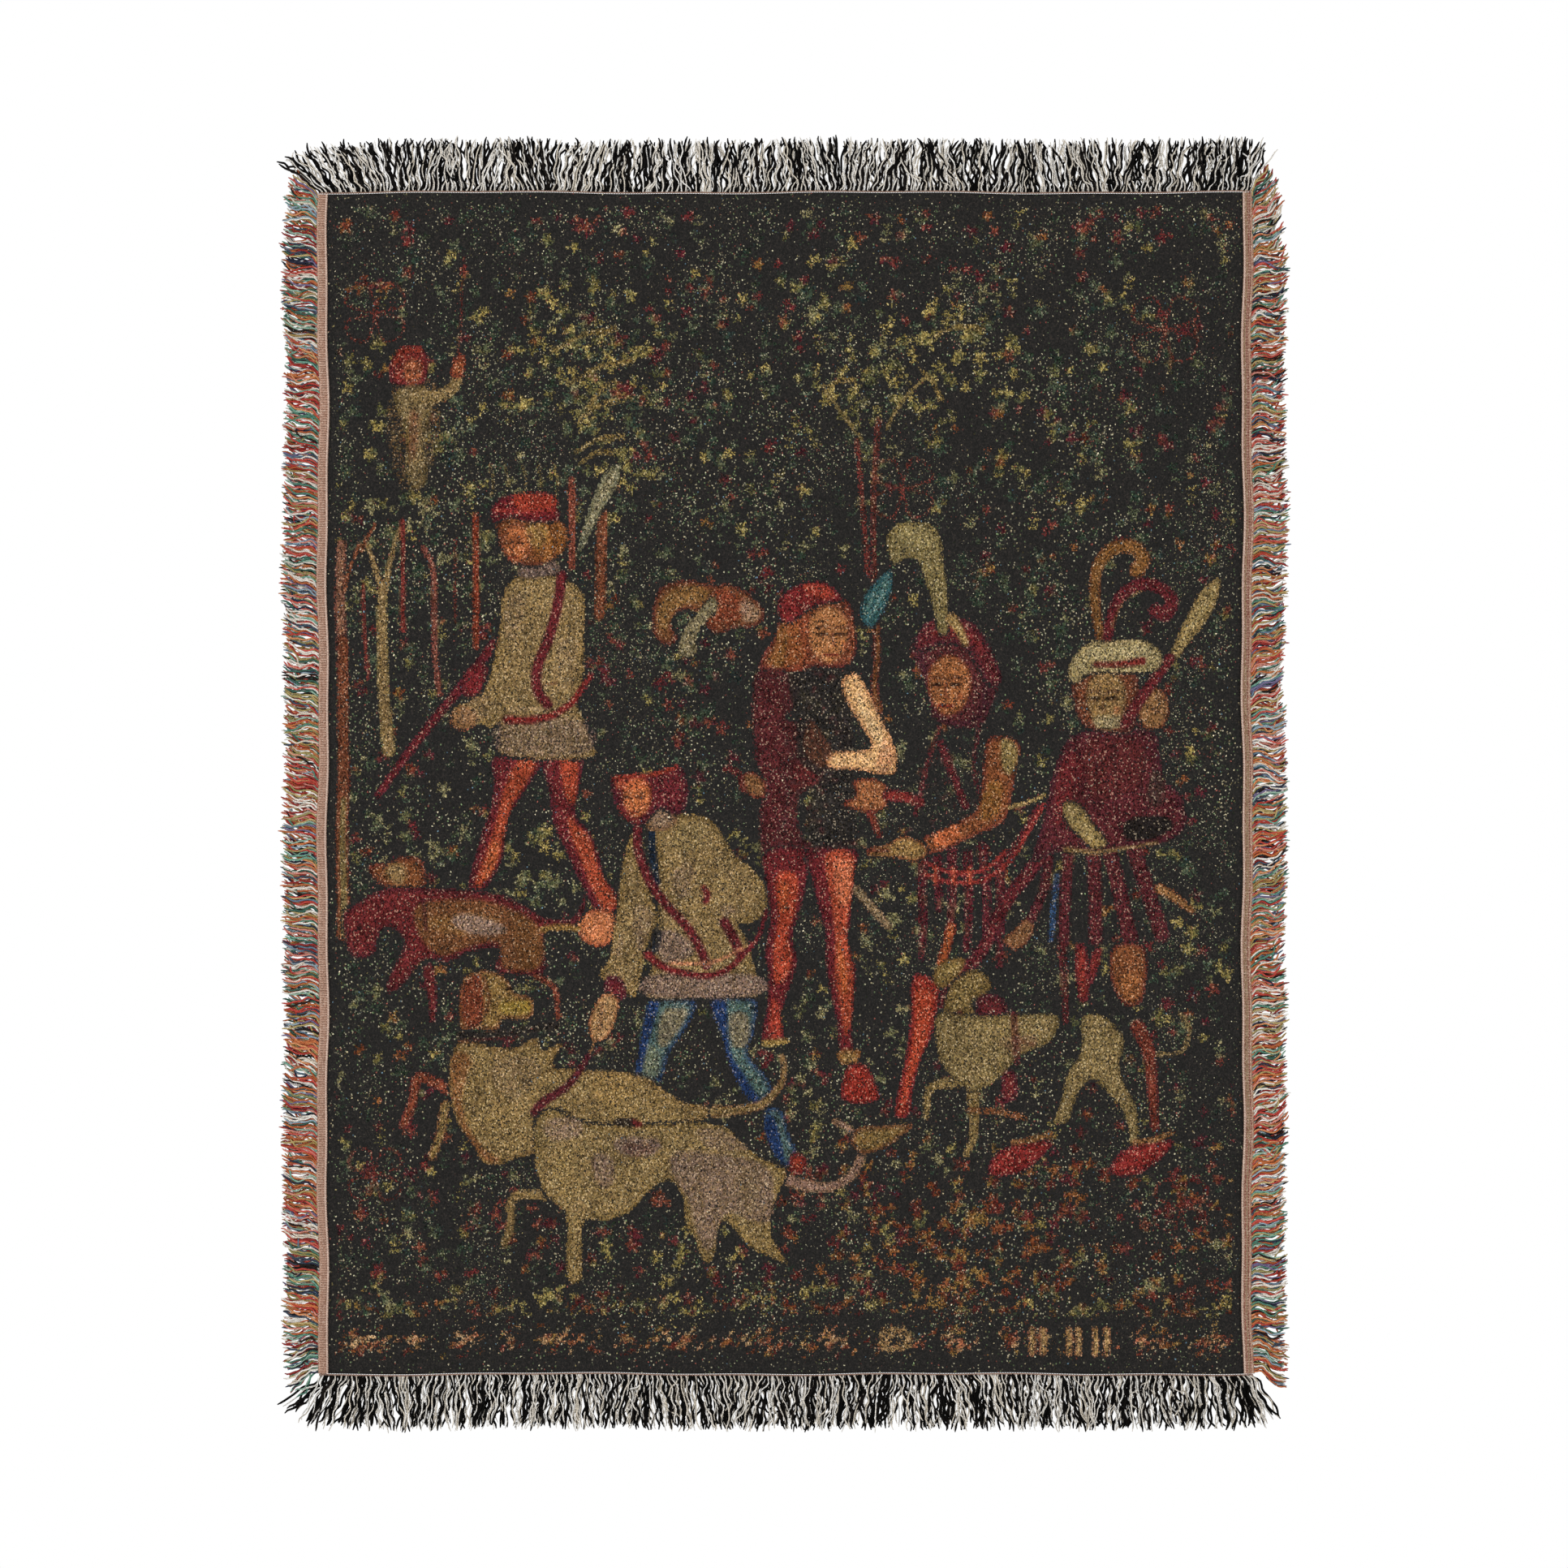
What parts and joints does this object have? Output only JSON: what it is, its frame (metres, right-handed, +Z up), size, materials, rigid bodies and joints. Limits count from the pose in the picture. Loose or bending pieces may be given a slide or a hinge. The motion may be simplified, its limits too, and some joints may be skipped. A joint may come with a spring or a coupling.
{
  "type": "tapestry wall hanging",
  "caption": "Upright jacquard-woven cotton wall hanging with a pictorial front, pale side bands, yarn fringe on all four sides and a rod pocket on the back.",
  "frame": {"origin": "middle of the rod pocket on the back, halfway across the cloth", "axes": "+X along the rod pocket, to the right of the picture; +Y out of the back, towards the wall; +Z up"},
  "size_m": [1.2672, 0.0309, 1.6256],
  "materials": {
    "picture_cloth": "jacquard-woven cotton",
    "heading_band": "plain-woven cotton",
    "edge_cord": "twisted cotton cord",
    "lock_stitch": "cotton thread",
    "overlock_thread": "overlocked cotton thread",
    "natural_yarn": "soft cotton yarn",
    "black_yarn": "soft cotton yarn",
    "warp_red": "soft cotton yarn",
    "warp_orange": "soft cotton yarn",
    "warp_gold": "soft cotton yarn",
    "warp_green": "soft cotton yarn",
    "warp_blue": "soft cotton yarn",
    "sleeve_cloth": "plain cotton lining",
    "sleeve_thread": "cotton thread"
  },
  "bodies": {
    "root": {"woven_panel": "picture_cloth", "left_band": "heading_band", "right_band": "heading_band", "left_band_cord": "edge_cord", "right_band_cord": "edge_cord", "left_band_stitch": "lock_stitch", "right_band_stitch": "lock_stitch", "top_edge_stitch": "overlock_thread", "bottom_edge_stitch": "overlock_thread", "top_fringe_natural": "natural_yarn", "top_fringe_black": "black_yarn", "bottom_fringe_natural": "natural_yarn", "bottom_fringe_black": "black_yarn", "left_fringe_red": "warp_red", "left_fringe_orange": "warp_orange", "left_fringe_gold": "warp_gold", "left_fringe_green": "warp_green", "left_fringe_blue": "warp_blue", "left_fringe_natural": "natural_yarn", "right_fringe_red": "warp_red", "right_fringe_orange": "warp_orange", "right_fringe_gold": "warp_gold", "right_fringe_green": "warp_green", "right_fringe_blue": "warp_blue", "right_fringe_natural": "natural_yarn", "hanging_sleeve": "sleeve_cloth", "sleeve_top_stitch": "sleeve_thread", "sleeve_bottom_stitch": "sleeve_thread"}
  },
  "joints": []
}
